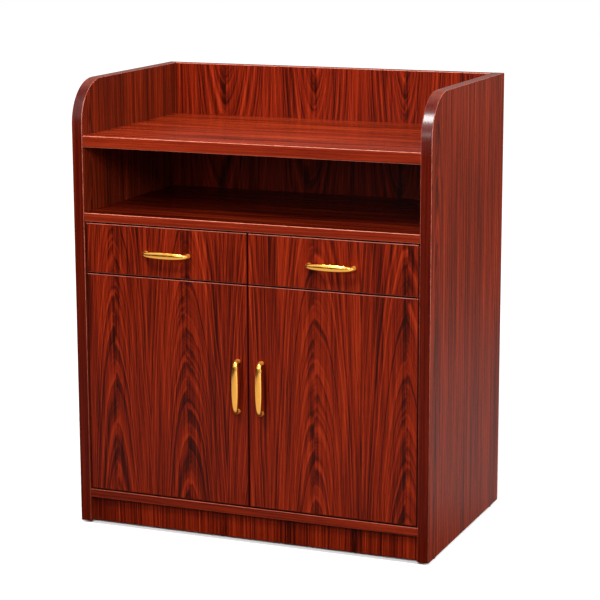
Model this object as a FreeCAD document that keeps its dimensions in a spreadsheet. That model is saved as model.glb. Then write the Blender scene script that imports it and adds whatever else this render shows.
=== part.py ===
import FreeCAD, Part
import math
import os
import types

import Sketcher

# Waiter service station: a restaurant side cabinet with a worktop recess, an open bay, two drawers on
# roller runners and two doors on concealed single-joint hinges.
# Frame: millimetres, +Z up, +Y to the back, origin on the floor under the middle of the cabinet's
# bounding box, pulls included.

# Every size that can be set by itself: its name, its value in millimetres (counts have none) and its meaning.
SIZES = (
    ("overall_width", 830, "across the side panels"),
    ("overall_depth", 500, "front edge to back edge of the side panels"),
    ("overall_height", 1000, "floor to the top of the side panels"),
    ("corner_radius", 97, "rounded top front corner of the side panels"),
    ("side_board", 25, "thickness of the side panels"),
    ("worktop_board", 25, "thickness of the worktop"),
    ("upstand_board", 25, "thickness of the upstand behind the worktop"),
    ("shelf_board", 19, "thickness of the shelves, divider and plinth"),
    ("front_board", 19, "thickness of the doors and drawer fronts"),
    ("back_board", 10, "thickness of the back panel"),
    ("edge_band", 2, "thickness of the edge bands"),
    ("arris_radius", 1.8, "rounding of the edge bands"),
    ("worktop_drop", 120, "worktop's surface below the top of the side panels"),
    ("shelf_level", 710, "floor to the middle shelf's surface"),
    ("split_level", 576.5, "floor to the middle of the gap between doors and drawers"),
    ("plinth_height", 60, "floor to the underside of the bottom panel"),
    ("plinth_recess", 15, "plinth behind the front edge of the side panels"),
    ("front_recess", 3, "doors and shelves behind the front edge of the side panels"),
    ("front_gap", 3, "gap around the doors and drawer fronts"),
    ("back_set", 25, "back panel's face ahead of the upstand's face"),
    ("upstand_drop", 75, "how far the upstand reaches below the worktop"),
    ("groove_depth", 8, "grooves of the back panel in the side panels"),
    ("groove_play", 0.2, "play of a panel in its groove"),
    ("glide_height", 4, "side panels above the floor"),
    ("glide_radius", 11, "foot glides"),
    ("glide_set", 50, "glides from the front and back edges"),
    ("pin_hole_radius", 2.5, "shelf-pin holes and pins"),
    ("pin_hole_depth", 12, "shelf-pin holes"),
    ("pin_hole_pitch", 32, "height between shelf-pin holes"),
    ("pin_hole_set", 37, "shelf-pin holes from the doors' back and from the back panel"),
    ("pin_reach", 8, "shelf pins out of the side panels"),
    ("shelf_pin_level", 320, "floor to the pins that carry the adjustable shelf"),
    ("shelf_play", 1, "adjustable shelf to the side and back panels"),
    ("shelf_setback", 23, "adjustable shelf behind the doors' back faces"),
    ("cam_radius", 7.5, "cam fasteners in the undersides of the boards"),
    ("cam_depth", 12.5, "cam fasteners"),
    ("cam_set", 34, "cam fasteners from the ends of a board"),
    ("cam_inset", 60, "cam fasteners from the front and back of a board"),
    ("drawer_rear_gap", 28, "drawer boxes to the back panel"),
    ("drawer_side_height", 80, "drawer sides"),
    ("drawer_side_board", 12, "thickness of the drawer sides and backs"),
    ("drawer_bottom_board", 5, "thickness of the drawer bottoms"),
    ("drawer_bottom_groove", 5, "depth of the grooves that hold the drawer bottoms"),
    ("drawer_bottom_rise", 8, "drawer bottom above the lower edge of the drawer sides"),
    ("divider_play", 1, "drawer divider behind the drawer fronts"),
    ("runner_gap", 12.5, "drawer box to the cabinet wall on each side"),
    ("runner_lift", 8, "runners above the drawer floor panel"),
    ("runner_steel", 1.2, "sheet thickness of the runners"),
    ("runner_end_gap", 2, "cabinet runners behind the drawer fronts"),
    ("runner_track", 10.3, "width of the cabinet runner's lower track"),
    ("runner_lip", 4, "height of the lip along the lower track"),
    ("runner_hood", 8, "width of the cabinet runner's upper flange"),
    ("runner_hood_play", 2.8, "upper flange above the drawer runner"),
    ("runner_foot", 12, "drawer runner's flange under the drawer side"),
    ("runner_wall_play", 1, "drawer runner's upper flange to the cabinet runner's web"),
    ("runner_overlap", 100, "length of a drawer box that stays in the cabinet when it is out"),
    ("stop_height", 5, "stop tab on the lower track"),
    ("stop_play", 0.5, "rear roller to the stop tab when the drawer is out"),
    ("roller_radius", 8.5, "runner rollers"),
    ("roller_width", 6.2, "runner rollers"),
    ("roller_lane", 2.6, "rollers from the cabinet wall"),
    ("roller_set", 12, "roller centres from the ends of the runners"),
    ("rolling_play", 0.3, "rollers to the flanges they run on"),
    ("axle_radius", 2, "roller axles"),
    ("axle_head_radius", 3, "rivet heads of the roller axles"),
    ("axle_head", 0.8, "height of the rivet heads"),
    ("axle_play", 0.15, "rollers to the rivet heads"),
    ("running_fit", 0.05, "radial play of rollers and hinge arms on their pins"),
    ("hinge_set", 14, "hinge pin from the door's edge"),
    ("hinge_depth", 10, "hinge pin behind the door's face"),
    ("hinge_end_set", 90, "hinges from the door's top and bottom"),
    ("cup_radius", 17.5, "hinge cup bores"),
    ("cup_edge", 4, "cup bore from the door's edge"),
    ("cup_depth", 12.6, "hinge cup bores"),
    ("cup_wall", 0.9, "wall of the hinge cups"),
    ("cup_flange", 1.2, "thickness of the cups' flanges"),
    ("cup_flange_rim", 1.5, "flange beyond the cup bore"),
    ("cup_lug", 4.5, "thickness of the lugs that hold the hinge pin"),
    ("cup_lug_width", 7, "lugs across the hinge pin"),
    ("cup_lug_cap", 1.5, "lugs behind the hinge pin"),
    ("hinge_pin_radius", 1.5, "hinge pins"),
    ("knuckle_radius", 2.3, "arm's knuckle around the hinge pin"),
    ("arm_thickness", 2.6, "hinge arms"),
    ("arm_width", 14, "hinge arms"),
    ("arm_side_play", 0.6, "hinge arm to the lugs"),
    ("hook_radius", 17.2, "inside of the arm's swan neck, about the hinge pin"),
    ("arm_reach", 75, "end of the arm behind the hinge pin"),
    ("plate_thickness", 3, "mounting plates"),
    ("plate_length", 50, "mounting plates, front to back"),
    ("plate_height", 16, "mounting plates beside the arm"),
    ("plate_wing", 60, "mounting plates across their screw wings"),
    ("plate_wing_width", 15, "screw wings"),
    ("plate_screw_spread", 22, "plate screws above and below the arm's centre"),
    ("screw_radius", 2, "wood screws"),
    ("screw_head_radius", 3.8, "screw heads"),
    ("screw_head", 1.4, "height of the screw heads"),
    ("screw_length", 11, "wood screws below their heads"),
    ("catch_length", 44, "magnetic catch across the two doors"),
    ("catch_depth", 30, "magnetic catch, front to back"),
    ("catch_height", 13, "magnetic catch"),
    ("catch_play", 0.3, "magnets to the strike plates"),
    ("magnet_length", 14, "catch magnets"),
    ("magnet_height", 7, "catch magnets"),
    ("magnet_depth", 10, "catch magnets"),
    ("strike_thickness", 1.2, "strike plates"),
    ("strike_height", 15, "strike plates"),
    ("strike_width", 20, "strike plates"),
    ("strike_edge", 1, "strike plates from the doors' free edges"),
    ("drawer_handle_length", 114, "drawer pulls, end to end"),
    ("door_handle_length", 126, "door pulls, end to end"),
    ("handle_width", 16, "bow pulls at the middle"),
    ("handle_end_width", 8.5, "bow pulls at the ends"),
    ("handle_rise", 27, "bow pulls from the front to their outer face"),
    ("handle_crown", 3.5, "arch of the bow's outer face"),
    ("handle_middle", 4.6, "thickness of the bow at its middle"),
    ("handle_strap", 5.4, "thickness of the bow at its ends"),
    ("handle_turn", 9, "thickness of the bow where it turns into the feet"),
    ("handle_inner_radius", 5, "inside corners between the bow and the feet"),
    ("handle_screw_set", 9, "fixing screws from the ends of the pulls"),
    ("handle_foot", 7.5, "thickness of the feet at the front"),
    ("handle_shoulder", 8.5, "depth of the bow's rounded shoulders"),
    ("handle_chamfer", 0.9, "eased edges of the bow pulls"),
    ("handle_screw_grip", 9, "fixing screws into the feet"),
    ("handle_screw_radius", 2, "fixing screws"),
    ("drawer_handle_level", 630.5, "floor to the drawer pulls"),
    ("left_drawer_handle_out", 188, "left drawer pull from the cabinet's middle"),
    ("right_drawer_handle_out", 195, "right drawer pull from the cabinet's middle"),
    ("door_handle_level", 352, "floor to the middle of the door pulls"),
    ("left_door_handle_out", 22, "left door pull from the cabinet's middle"),
    ("right_door_handle_out", 33.5, "right door pull from the cabinet's middle"),
)
PIN_HOLE_ROWS = 3
STUD_SIDES = 8
CUP_SIDES = 24
LEFT, RIGHT = -1, 1
TURN_LEFT, TURN_RIGHT = 1, -1

doc = FreeCAD.newDocument("WaiterStation")
sheet = doc.addObject("Spreadsheet::Sheet", "Sizes")


class Size:
    """A length that knows its value and the formula on the sheet that gives it."""

    def __init__(self, value, formula):
        self.value = value
        self.formula = formula

    def combine(self, sign, other, value):
        return Size(value, f"({self.formula} {sign} {as_size(other).formula})")

    def __add__(self, other):
        return self.combine("+", other, self.value + as_size(other).value)

    def __sub__(self, other):
        return self.combine("-", other, self.value - as_size(other).value)

    def __mul__(self, other):
        return self.combine("*", other, self.value * as_size(other).value)

    def __truediv__(self, other):
        return self.combine("/", other, self.value / as_size(other).value)

    def __rmul__(self, other):
        return as_size(other) * self

    def __neg__(self):
        return as_size(0) - self


def as_size(number):
    return number if isinstance(number, Size) else Size(number, repr(number))


def root(size):
    return Size(math.sqrt(size.value), f"sqrt({size.formula})")


def arc_radius(half_chord, rise):
    """Radius of an arc from its half chord and its rise."""
    return (half_chord * half_chord + rise * rise) / (2 * rise)


def fill_sheet():
    """Write the sizes on the sheet and hand them back by name."""
    sizes = types.SimpleNamespace()
    for row, (alias, value, meaning) in enumerate(SIZES, start=1):
        sheet.set(f"A{row}", alias)
        sheet.set(f"B{row}", str(value))
        sheet.set(f"C{row}", meaning)
        sheet.setAlias(f"B{row}", alias)
        setattr(sizes, alias, Size(value, f"Sizes.{alias}"))
    doc.recompute()
    return sizes


s = fill_sheet()


# ---- how shapes are made ---------------------------------------------------------------------------------


def bind(target, path, size):
    target.setExpression(path, as_size(size).formula)


def place(target, x, y, z):
    for axis, size in zip("xyz", (x, y, z)):
        bind(target, f"Placement.Base.{axis}", size)


def span(side, near, far):
    """The low and high X of what lies between two distances from the middle, on the left or the right."""
    return (near, far) if side == RIGHT else (-far, -near)


def around(centre, half):
    return (centre - half, centre + half)


def box(label, x, y, z):
    """A block between the given pairs of coordinates."""
    block = doc.addObject("Part::Box", label)
    block.Label = label
    for edge, (low, high) in zip(("Length", "Width", "Height"), (x, y, z)):
        bind(block, edge, as_size(high) - low)
    place(block, x[0], y[0], z[0])
    return block


def bar(kind, label, axis, base, length):
    """A bar that runs from its base point along +X, +Y or +Z."""
    turns = {
        "x": FreeCAD.Rotation(FreeCAD.Vector(0, 1, 0), 90),
        "y": FreeCAD.Rotation(FreeCAD.Vector(1, 0, 0), -90),
        "z": FreeCAD.Rotation(),
    }
    item = doc.addObject(kind, label)
    item.Label = label
    item.Placement = FreeCAD.Placement(FreeCAD.Vector(), turns[axis])
    bind(item, "Height", length)
    place(item, *base)
    return item


def rod(label, axis, base, radius, length):
    """A round bar."""
    cylinder = bar("Part::Cylinder", label, axis, base, length)
    bind(cylinder, "Radius", radius)
    return cylinder


def stud(label, axis, base, radius, length, sides=STUD_SIDES):
    """A many-sided bar with its corners on the radius: a screw, pin or bore drawn with few faces."""
    prism = bar("Part::Prism", label, axis, base, length)
    prism.Polygon = sides
    bind(prism, "Circumradius", radius)
    return prism


def join(label, parts):
    """One solid from overlapping solids, or one set of cutters."""
    if len(parts) == 1:
        return parts[0]
    union = doc.addObject("Part::MultiFuse", label)
    union.Label = label
    union.Shapes = parts
    return union


def cut(label, base, cutters):
    result = doc.addObject("Part::Cut", label)
    result.Label = label
    result.Base = base
    result.Tool = join(f"{label}_cutters", cutters)
    return result


def group(label, parts):
    """Separate solids of one kind, kept under one name."""
    compound = doc.addObject("Part::Compound", label)
    compound.Label = label
    compound.Links = parts
    return compound


def mirror(label, source, x=0):
    """The source on the other side of the plane X = x."""
    copy = doc.addObject("Part::Mirroring", label)
    copy.Label = label
    copy.Source = source
    copy.Normal = FreeCAD.Vector(1, 0, 0)
    bind(copy, "Base.x", x)
    return copy


def new_body(label):
    body = doc.addObject("PartDesign::Body", label)
    body.Label = label
    return body


def new_sketch(body, plane, name, height=None):
    """A sketch on one of the body's own origin planes, lifted off it where a height is given."""
    drawing = body.newObject("Sketcher::SketchObject", f"{body.Name}_{name}")
    origin_plane = next(item for item in body.Origin.OriginFeatures if item.Role == plane)
    drawing.AttachmentSupport = [(origin_plane, "")]
    drawing.MapMode = "FlatFace"
    if height is not None:
        bind(drawing, "AttachmentOffset.Base.z", height)
    return drawing


def hold(drawing, kind, size, *where):
    """Add a constraint and bind it to a size."""
    index = drawing.addConstraint(Sketcher.Constraint(kind, *where, float(as_size(size).value)))
    bind(drawing, f"Constraints[{index}]", size)


def draw_arc(drawing, start, end, radius, turn):
    """An arc of less than half a turn; returns the index and the points where it starts and ends."""
    half = (end - start) * 0.5
    rise = math.sqrt(max(radius.value ** 2 - half.Length ** 2, 0))
    aside = FreeCAD.Vector(-half.y, half.x, 0) * (turn * rise / half.Length)
    centre = start + half + aside
    first, last = (start, end) if turn == TURN_LEFT else (end, start)
    angles = [math.atan2(point.y - centre.y, point.x - centre.x) for point in (first, last)]
    circle = Part.Circle(centre, FreeCAD.Vector(0, 0, 1), radius.value)
    edge = drawing.addGeometry(Part.ArcOfCircle(circle, *angles), False)
    hold(drawing, "Radius", radius, edge)
    return (edge, 1, 2) if turn == TURN_LEFT else (edge, 2, 1)


def outline(drawing, steps):
    """A closed outline. A step (x, y) ends a straight line; (x, y, radius, turn) ends an arc."""
    steps = [tuple(as_size(item) for item in step[:3]) + step[3:] for step in steps]
    points = [FreeCAD.Vector(step[0].value, step[1].value, 0) for step in steps]
    edges = []
    for index, step in enumerate(steps):
        start, end = points[index - 1], points[index]
        if len(step) == 2:
            edges.append((drawing.addGeometry(Part.LineSegment(start, end), False), 1, 2))
        else:
            edges.append(draw_arc(drawing, start, end, *step[2:]))
    for index, (edge, _, end_point) in enumerate(edges):
        next_edge, next_point, _ = edges[(index + 1) % len(edges)]
        drawing.addConstraint(Sketcher.Constraint("Coincident", edge, end_point, next_edge, next_point))
        hold(drawing, "DistanceX", steps[index][0], -1, 1, edge, end_point)
        hold(drawing, "DistanceY", steps[index][1], -1, 1, edge, end_point)


def ring(drawing, x, y, radius):
    x, y, radius = as_size(x), as_size(y), as_size(radius)
    centre = FreeCAD.Vector(x.value, y.value, 0)
    edge = drawing.addGeometry(Part.Circle(centre, FreeCAD.Vector(0, 0, 1), radius.value), False)
    hold(drawing, "Radius", radius, edge)
    hold(drawing, "DistanceX", x, -1, 1, edge, 3)
    hold(drawing, "DistanceY", y, -1, 1, edge, 3)


def stud_hole(drawing, x, y, radius):
    """The outline of a stud in a sketch that faces along its length."""
    corners = []
    for index in range(STUD_SIDES):
        angle = 2 * math.pi * index / STUD_SIDES
        corners.append((radius * math.cos(angle) + x, radius * math.sin(angle) + y))
    outline(drawing, corners)


def rectangle(drawing, x, y):
    outline(drawing, [(x[0], y[0]), (x[1], y[0]), (x[1], y[1]), (x[0], y[1])])


def raise_pad(body, drawing, length, symmetric=False, backward=False):
    pad = body.newObject("PartDesign::Pad", f"{drawing.Name}_pad")
    pad.Profile = drawing
    pad.SideType = "Symmetric" if symmetric else "One side"
    pad.Reversed = backward
    bind(pad, "Length", length)
    return pad


def sink_pocket(body, drawing, length, symmetric=False, backward=False):
    pocket = body.newObject("PartDesign::Pocket", f"{drawing.Name}_pocket")
    pocket.Profile = drawing
    pocket.SideType = "Symmetric" if symmetric else "One side"
    pocket.Reversed = backward
    bind(pocket, "Length", length)
    return pocket


def picked_edges(base, wanted):
    """Names of the feature's edges whose middle point is wanted."""
    doc.recompute()
    names = []
    for number, edge in enumerate(base.Shape.Edges, start=1):
        middle = edge.valueAt((edge.FirstParameter + edge.LastParameter) / 2)
        if wanted(middle):
            names.append(f"Edge{number}")
    return names


def round_edges(body, base, radius, wanted):
    """Round the edges of the body's last feature whose middle point is wanted."""
    fillet = body.newObject("PartDesign::Fillet", f"{body.Name}_fillet")
    fillet.Base = (base, picked_edges(base, wanted))
    bind(fillet, "Radius", radius)
    return fillet


def ease_edges(body, base, width, wanted):
    """Chamfer the edges of the body's last feature whose middle point is wanted."""
    chamfer = body.newObject("PartDesign::Chamfer", f"{body.Name}_chamfer")
    chamfer.Base = (base, picked_edges(base, wanted))
    bind(chamfer, "Size", width)
    return chamfer


def near(a, b):
    return abs(a - b) < 0.01


# ---- planes and levels that the pieces share ---------------------------------------------------------------

half_width = s.overall_width / 2
inner = half_width - s.side_board
handles_ahead = s.handle_rise - s.front_recess
front = (handles_ahead - s.overall_depth) / 2
back = (handles_ahead + s.overall_depth) / 2
face = front + s.front_recess
front_back = face + s.front_board
upstand_face = back - s.upstand_board
back_face = upstand_face - s.back_set
worktop_level = s.overall_height - s.worktop_drop
worktop_under = worktop_level - s.worktop_board
shelf_under = s.shelf_level - s.shelf_board
bottom_top = s.plinth_height + s.shelf_board
floor_panel = around(s.split_level, s.shelf_board / 2)
door_heights = (bottom_top + s.front_gap, s.split_level - s.front_gap / 2)
drawer_heights = (s.split_level + s.front_gap / 2, shelf_under - s.front_gap)
front_reach = (s.front_gap / 2, inner - s.front_gap)
divider_half = s.shelf_board / 2
hinge_x = inner - s.front_gap - s.hinge_set
hinge_y = face + s.hinge_depth
hinge_levels = (door_heights[0] + s.hinge_end_set, door_heights[1] - s.hinge_end_set)
full_width = (-inner, inner)
nodes = []


def node(part):
    """Keep a finished piece under its label."""
    nodes.append(part)
    return part


# ---- carcass ---------------------------------------------------------------------------------------------


def side_panel():
    """Left side panel: rounded corner, groove for the back panel, rows of shelf-pin holes."""
    body = new_body("left_side_board")
    board = new_sketch(body, "YZ_Plane", "board")
    core_front = front + s.edge_band
    core_top = s.overall_height - s.edge_band
    core_radius = s.corner_radius - s.edge_band
    outline(board, [
        (back, s.glide_height),
        (back, core_top),
        (core_front + core_radius, core_top),
        (core_front, core_top - core_radius, core_radius, TURN_LEFT),
        (core_front, s.glide_height),
    ])
    raise_pad(body, board, s.side_board)
    groove = new_sketch(body, "YZ_Plane", "groove", s.side_board)
    rectangle(groove, (back_face, back_face + s.back_board + s.groove_play), (s.plinth_height, worktop_under))
    sink_pocket(body, groove, s.groove_depth)
    holes = new_sketch(body, "YZ_Plane", "pin_holes", s.side_board)
    for y in pin_columns:
        for row in range(PIN_HOLE_ROWS):
            z = s.shelf_pin_level + (row - PIN_HOLE_ROWS // 2) * s.pin_hole_pitch
            stud_hole(holes, y, z, s.pin_hole_radius)
    sink_pocket(body, holes, s.pin_hole_depth)
    bind(body, "Placement.Base.x", -half_width)
    return body


def side_band():
    """Edge band of the left side panel, up the front, round the corner and along the top."""
    body = new_body("left_side_edge_band")
    strip = new_sketch(body, "YZ_Plane", "strip")
    top = s.overall_height
    radius = s.corner_radius
    band = s.edge_band
    outline(strip, [
        (front, s.glide_height),
        (front, top - radius),
        (front + radius, top, radius, TURN_RIGHT),
        (back, top),
        (back, top - band),
        (front + radius, top - band),
        (front + band, top - radius, radius - band, TURN_LEFT),
        (front + band, s.glide_height),
    ])
    pad = raise_pad(body, strip, s.side_board)
    corner_y = front.value + radius.value
    corner_z = top.value - radius.value

    def outer(point):
        on_side = near(point.x, 0) or near(point.x, s.side_board.value)
        on_corner = near(math.hypot(point.y - corner_y, point.z - corner_z), radius.value)
        return on_side and (near(point.y, front.value) or near(point.z, top.value) or on_corner)

    round_edges(body, pad, s.arris_radius, outer)
    bind(body, "Placement.Base.x", -half_width)
    return body


def front_strip(label, x, y, z):
    """A straight edge band on the front of a board, with both arrises rounded; y is its front face."""
    body = new_body(label)
    profile = new_sketch(body, "YZ_Plane", "profile")
    low, high = z
    rim = s.arris_radius
    outline(profile, [
        (y + s.edge_band, low),
        (y + s.edge_band, high),
        (y + rim, high),
        (y, high - rim, rim, TURN_LEFT),
        (y, low + rim),
        (y + rim, low, rim, TURN_LEFT),
    ])
    raise_pad(body, profile, as_size(x[1]) - x[0])
    bind(body, "Placement.Base.x", x[0])
    return body


def top_strip(label, x, y, top):
    """A straight edge band on the top of an upright board, with both arrises rounded."""
    body = new_body(label)
    profile = new_sketch(body, "YZ_Plane", "profile")
    low, high = y
    rim = s.arris_radius
    outline(profile, [
        (low, top - s.edge_band),
        (high, top - s.edge_band),
        (high, top - rim),
        (high - rim, top, rim, TURN_LEFT),
        (low + rim, top),
        (low, top - rim, rim, TURN_LEFT),
    ])
    raise_pad(body, profile, as_size(x[1]) - x[0])
    bind(body, "Placement.Base.x", x[0])
    return body


def cams(label, y, under):
    """Four cam fasteners let into the underside of a board."""
    low, high = y
    housings = []
    for side_name, side in (("left", LEFT), ("right", RIGHT)):
        for row_name, row in (("front", low + s.cam_inset), ("rear", high - s.cam_inset)):
            base = (side * (inner - s.cam_set), row, under)
            name = f"{label}_{side_name}_{row_name}_cam"
            housings.append(stud(name, "z", base, s.cam_radius, s.cam_depth))
    return housings


def hinge_arm(label, level):
    """Swan-neck arm of a left door: knuckle, hook around the door's edge and flat stem on its plate."""
    body = new_body(label)
    profile = new_sketch(body, "XY_Plane", "profile")
    knuckle = s.knuckle_radius
    inside = s.hook_radius
    outside = inside + s.arm_thickness
    stem = s.plate_thickness - s.hinge_set - s.front_gap
    outline(profile, [
        (knuckle, 0),
        (0, knuckle, knuckle, TURN_LEFT),
        (-knuckle, 0, knuckle, TURN_LEFT),
        (0, -knuckle, knuckle, TURN_LEFT),
        (root(outside * outside - knuckle * knuckle), -knuckle),
        (0, outside, outside, TURN_LEFT),
        (stem + s.arm_thickness, outside),
        (stem + s.arm_thickness, s.arm_reach),
        (stem, s.arm_reach),
        (stem, inside),
        (0, inside),
        (inside, 0, inside, TURN_RIGHT),
    ])
    raise_pad(body, profile, s.arm_width, symmetric=True)
    bore = new_sketch(body, "XY_Plane", "bore")
    ring(bore, 0, 0, s.hinge_pin_radius + s.running_fit)
    sink_pocket(body, bore, s.arm_width, symmetric=True)
    place(body, -hinge_x, hinge_y, level)
    return body


def mounting_plate(label, side, level):
    """Cross-shaped plate on a side panel: a bar under the arm and two wings for its screws."""
    plate_x = span(side, inner - s.plate_thickness, inner)
    plate_back = hinge_y + s.arm_reach
    bar_y = (plate_back - s.plate_length, plate_back)
    bar = box(f"{label}_bar", plate_x, bar_y, around(level, s.plate_height / 2))
    wing_y = around(pin_columns[0], s.plate_wing_width / 2)
    wing = box(f"{label}_wing", plate_x, wing_y, around(level, s.plate_wing / 2))
    return join(label, [bar, wing])


def side_screw(label, side, z):
    """A wood screw through a mounting plate into a side panel: its head and its shank."""
    seat = inner - s.plate_thickness
    head_x = span(side, seat - s.screw_head, seat)
    shank_x = span(side, seat, seat + s.screw_length)
    head_base = (head_x[0], pin_columns[0], z)
    shank_base = (shank_x[0], pin_columns[0], z)
    head = stud(f"{label}_head", "x", head_base, s.screw_head_radius, s.screw_head)
    shank = stud(f"{label}_shank", "x", shank_base, s.screw_radius, s.screw_length)
    return head, shank


def hinge_cup(label, side, level):
    """A flanged cup with two lugs for the hinge pin; returns the cup, its pin and the bore it fills."""
    cup_x = side * (front_reach[1] - s.cup_edge - s.cup_radius)
    pin_x = side * hinge_x
    floor = front_back - s.cup_depth
    rim_radius = s.cup_radius + s.cup_flange_rim
    hollow_radius = s.cup_radius - s.cup_wall
    hollow_depth = s.cup_depth + s.cup_flange
    hollow_base = (cup_x, floor + s.cup_wall, level)
    shell = stud(f"{label}_shell", "y", (cup_x, floor, level), s.cup_radius, s.cup_depth, CUP_SIDES)
    rim = stud(f"{label}_rim", "y", (cup_x, front_back, level), rim_radius, s.cup_flange, CUP_SIDES)
    hollow = stud(f"{label}_hollow", "y", hollow_base, hollow_radius, hollow_depth, CUP_SIDES)
    dished = cut(f"{label}_dish", join(f"{label}_blank", [shell, rim]), [hollow])
    lug_start = s.arm_width / 2 + s.arm_side_play
    lug_y = (floor, hinge_y + s.hinge_pin_radius + s.cup_lug_cap)
    lugs = []
    for row, lug_z in (
        ("lower", (level - lug_start - s.cup_lug, level - lug_start)),
        ("upper", (level + lug_start, level + lug_start + s.cup_lug)),
    ):
        lugs.append(box(f"{label}_{row}_lug", around(pin_x, s.cup_lug_width / 2), lug_y, lug_z))
    pin_half = lug_start + s.cup_lug
    pin = rod(f"{label}_pin", "z", (pin_x, hinge_y, level - pin_half), s.hinge_pin_radius, pin_half * 2)
    cup = cut(label, join(f"{label}_casting", [dished, *lugs]), [pin])
    return cup, pin, shell


def front_frame(label, x, z):
    """The edge band around a door or drawer front, with its front arris rounded."""
    body = new_body(label)
    drawing = new_sketch(body, "XZ_Plane", "frame")
    rectangle(drawing, x, z)
    rectangle(drawing, (x[0] + s.edge_band, x[1] - s.edge_band), (z[0] + s.edge_band, z[1] - s.edge_band))
    pad = raise_pad(body, drawing, s.front_board, backward=True)

    def front_arris(point):
        on_edge = any(near(point.x, edge.value) for edge in x) or any(near(point.z, edge.value) for edge in z)
        return near(point.y, 0) and on_edge

    round_edges(body, pad, s.arris_radius, front_arris)
    bind(body, "Placement.Base.y", face)
    return body


def front_panel(label, x, z, cutters):
    """A door or drawer front inside its edge band, bored for what is fitted to it."""
    core_x = (x[0] + s.edge_band, x[1] - s.edge_band)
    core_z = (z[0] + s.edge_band, z[1] - s.edge_band)
    return cut(label, box(f"{label}_board", core_x, (face, front_back), core_z), cutters)


def bow_pull(label, x, z, level, length, shanks):
    """A boat-shaped bow pull: an arched strap, widest in the middle, that turns back into two feet."""
    body = new_body(f"{label}_casting")
    half = length / 2
    shoulder = s.handle_shoulder
    corner = s.handle_inner_radius
    foot = half - s.handle_screw_set
    foot_half = s.handle_foot / 2
    outer_end = half - shoulder
    outer_rise = s.handle_rise - s.handle_crown
    inner_rise = outer_rise - s.handle_strap
    inner_turn = half - s.handle_turn
    inner_end = inner_turn - corner
    outer_arc = arc_radius(outer_end, s.handle_crown)
    inner_arc = arc_radius(inner_end, s.handle_crown + s.handle_strap - s.handle_middle)
    side_view = new_sketch(body, "YZ_Plane", "side_view")
    outline(side_view, [
        (0, foot + foot_half),
        (shoulder - outer_rise, half),
        (-outer_rise, outer_end, shoulder, TURN_LEFT),
        (-outer_rise, -outer_end, outer_arc, TURN_LEFT),
        (shoulder - outer_rise, -half, shoulder, TURN_LEFT),
        (0, -foot - foot_half),
        (0, foot_half - foot),
        (corner - inner_rise, -inner_turn),
        (-inner_rise, -inner_end, corner, TURN_RIGHT),
        (-inner_rise, inner_end, inner_arc, TURN_RIGHT),
        (corner - inner_rise, inner_turn, corner, TURN_RIGHT),
        (0, foot - foot_half),
    ])
    raise_pad(body, side_view, s.handle_width, symmetric=True)
    front_view = new_sketch(body, "XZ_Plane", "front_view")
    end_half = s.handle_end_width / 2
    side_arc = arc_radius(half, s.handle_width / 2 - end_half)
    rectangle(front_view, (-s.handle_width, s.handle_width), (-length, length))
    outline(front_view, [
        (end_half, -half),
        (end_half, half, side_arc, TURN_LEFT),
        (-end_half, half),
        (-end_half, -half, side_arc, TURN_LEFT),
    ])
    trimmed = sink_pocket(body, front_view, s.handle_rise * 3, symmetric=True)

    def off_the_seats(point):
        return point.y < -s.handle_chamfer.value

    ease_edges(body, trimmed, s.handle_chamfer, off_the_seats)
    if level:
        body.Placement = FreeCAD.Placement(FreeCAD.Vector(), FreeCAD.Rotation(FreeCAD.Vector(0, 1, 0), 90))
    place(body, x, face, z)
    return cut(label, body, shanks)


def handle_screws(label, x, z, level, length):
    """The two screws of a pull, driven from inside through the front into its feet."""
    screws = []
    shanks = []
    reach = length / 2 - s.handle_screw_set
    tip = face - s.handle_screw_grip
    for end, offset in (("first", -reach), ("second", reach)):
        screw_x, screw_z = (x + offset, z) if level else (x, z + offset)
        seat = (screw_x, front_back, screw_z)
        head = stud(f"{label}_{end}_head", "y", seat, s.screw_head_radius, s.screw_head)
        bore = (screw_x, tip, screw_z)
        shank = stud(f"{label}_{end}_shank", "y", bore, s.handle_screw_radius, front_back - tip)
        screws.append(join(f"{label}_{end}_screw", [head, shank]))
        shanks.append(shank)
    return group(label, screws), shanks


def runner_profile(label, points, length, y, z):
    """A formed steel runner member against the left wall of the left drawer bay."""
    body = new_body(label)
    drawing = new_sketch(body, "XZ_Plane", "profile")
    outline(drawing, points)
    raise_pad(body, drawing, length, backward=True)
    place(body, -inner, y, z)
    return body


def cabinet_runner():
    """Left wall's runner member: lower track with lip and stop tab, upper hood, axle of the front roller."""
    steel = s.runner_steel
    height = drawer_member_height + s.runner_hood_play + steel
    track = s.runner_track
    member = runner_profile("cabinet_member", [
        (0, 0),
        (track, 0),
        (track, s.runner_lip),
        (track - steel, s.runner_lip),
        (track - steel, steel),
        (steel, steel),
        (steel, height - steel),
        (s.runner_hood, height - steel),
        (s.runner_hood, height),
        (0, height),
    ], drawer_length - s.runner_end_gap, runner_front, runner_base)
    reach = roller_height - s.stop_height
    half_chord = root(s.roller_radius * s.roller_radius - reach * reach)
    travel = drawer_length - s.runner_overlap
    stop_y = rear_roller_y - travel - half_chord - s.stop_play
    stop = box(
        "stop_tab",
        (-inner, track - steel - inner),
        (stop_y - steel, stop_y),
        (runner_base, runner_base + s.stop_height),
    )
    axle_start = steel / 2 - inner
    head_start = s.roller_lane + s.roller_width + s.axle_play - inner
    axle_base = (axle_start, front_roller_y, runner_base + roller_height)
    head_base = (head_start, front_roller_y, runner_base + roller_height)
    axle = rod("front_axle", "x", axle_base, s.axle_radius, head_start - axle_start)
    head = stud("front_axle_head", "x", head_base, s.axle_head_radius, s.axle_head)
    return join("cabinet_runner", [member, stop, axle, head])


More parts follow.
